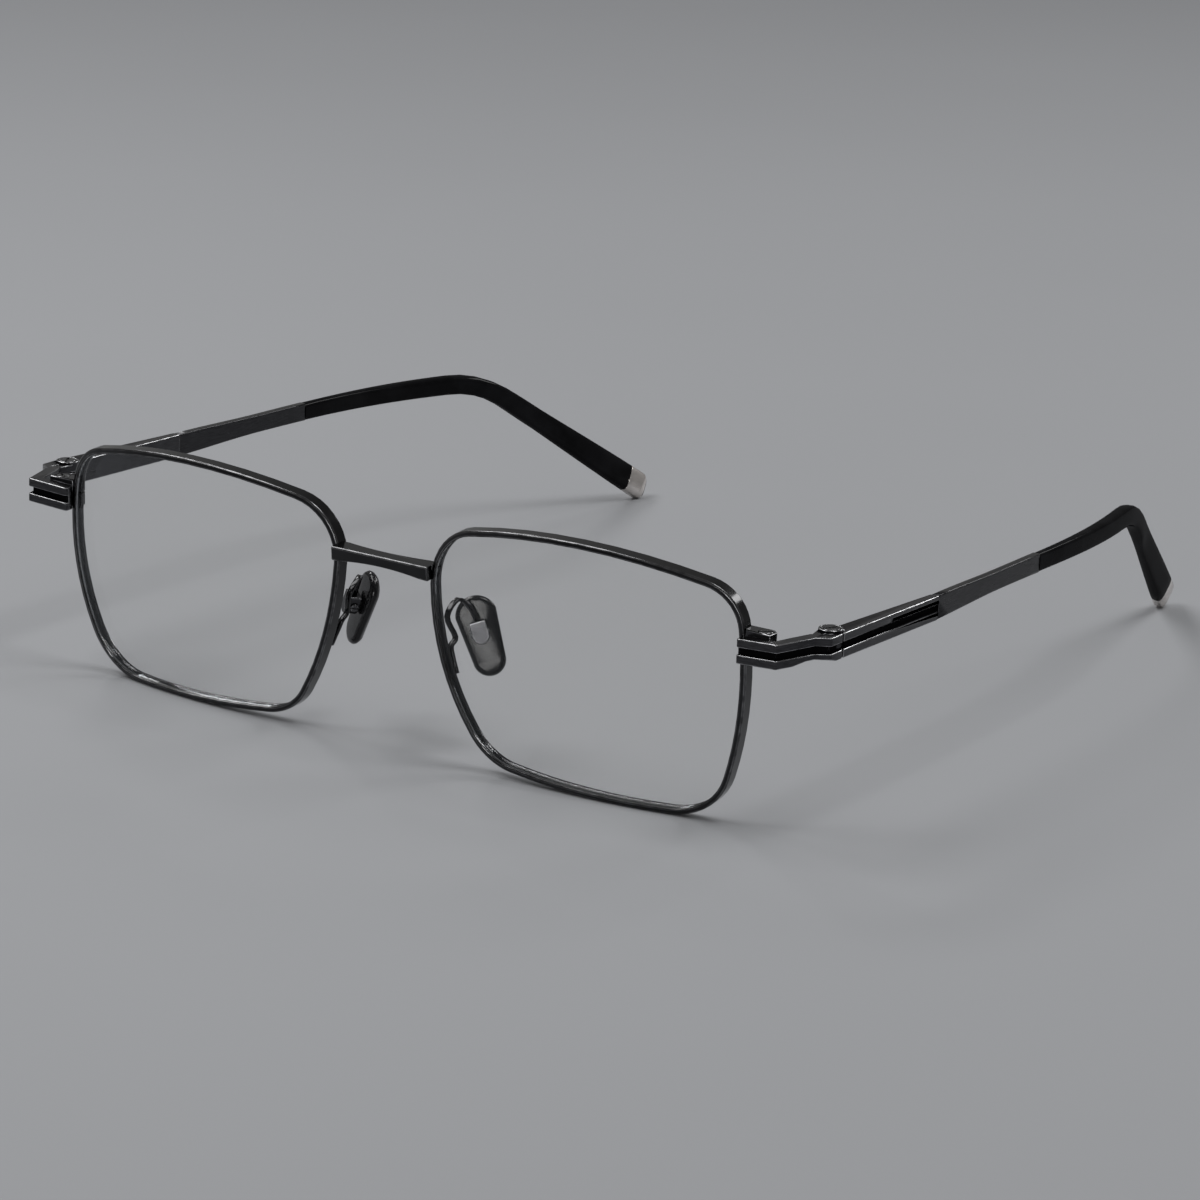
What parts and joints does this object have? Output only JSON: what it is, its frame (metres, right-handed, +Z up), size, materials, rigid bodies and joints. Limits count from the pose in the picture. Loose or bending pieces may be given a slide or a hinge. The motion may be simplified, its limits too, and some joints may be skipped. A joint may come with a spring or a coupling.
{
  "type": "rectangular metal eyeglasses",
  "caption": "Full-rim rectangular spectacles in black titanium with grooved end pieces, screw hinges, adjustable nose pads and curved temple tips with metal end caps.",
  "frame": {"origin": "on the floor under the middle of the open frame, half way between the foremost point of the rims and the rearmost point of the temple tips", "axes": "+X to the wearer's left, +Y back along the temples, +Z up; rim bottoms and temple tips stand on z = 0"},
  "size_m": [0.1462, 0.1524, 0.0395],
  "materials": {
    "black_titanium": "black ion-plated titanium, fine satin grain with bright edges",
    "dark_titanium": "dark brushed titanium bar",
    "acetate": "black acetate, satin to semi-gloss",
    "silver_titanium": "warm silver, polished edges",
    "lens": "clear coated lens",
    "silicone": "smoky translucent silicone",
    "pad_core": "black moulded core",
    "screw_steel": "dark polished screw steel",
    "washer": "thin bearing washer"
  },
  "bodies": {
    "front": {"bridge": "black_titanium", "left_eyewire": "black_titanium", "right_eyewire": "black_titanium", "left_lens": "lens", "right_lens": "lens", "left_end_piece": "black_titanium", "right_end_piece": "black_titanium", "left_closing_block_upper": "black_titanium", "right_closing_block_upper": "black_titanium", "left_closing_block_lower": "black_titanium", "right_closing_block_lower": "black_titanium", "left_lock_screw": "screw_steel", "right_lock_screw": "screw_steel", "left_pad_arm": "black_titanium", "right_pad_arm": "black_titanium", "left_pad_box": "black_titanium", "right_pad_box": "black_titanium", "left_pad_screw": "screw_steel", "right_pad_screw": "screw_steel", "left_hinge_screw": "screw_steel", "right_hinge_screw": "screw_steel", "left_hinge_washers": "washer", "right_hinge_washers": "washer"},
    "left_temple": {"left_temple_hinge_arm": "black_titanium", "left_temple_bar": "dark_titanium", "left_temple_tip": "acetate", "left_tip_cap": "silver_titanium"},
    "right_temple": {"right_temple_hinge_arm": "black_titanium", "right_temple_bar": "dark_titanium", "right_temple_tip": "acetate", "right_tip_cap": "silver_titanium"},
    "left_pad": {"left_nose_pad_core": "pad_core", "left_nose_pad": "silicone"},
    "right_pad": {"right_nose_pad_core": "pad_core", "right_nose_pad": "silicone"}
  },
  "joints": [
    {"name": "left_temple_fold", "type": "hinge", "parent": "front", "child": "left_temple", "pos_m": [0.07078, -0.06235, 0.02825], "axis": [0, 0, 1], "range_deg": [0, 83]},
    {"name": "right_temple_fold", "type": "hinge", "parent": "front", "child": "right_temple", "pos_m": [-0.07078, -0.06235, 0.02825], "axis": [0, 0, -1], "range_deg": [0, 75]},
    {"name": "left_pad_rock", "type": "hinge", "parent": "front", "child": "left_pad", "pos_m": [0.01197, -0.06525, 0.01893], "axis": [0.7638, 0.565, 0.312], "range_deg": [-8, 8]},
    {"name": "right_pad_rock", "type": "hinge", "parent": "front", "child": "right_pad", "pos_m": [-0.01197, -0.06525, 0.01893], "axis": [0.7638, -0.565, -0.312], "range_deg": [-8, 8]}
  ]
}
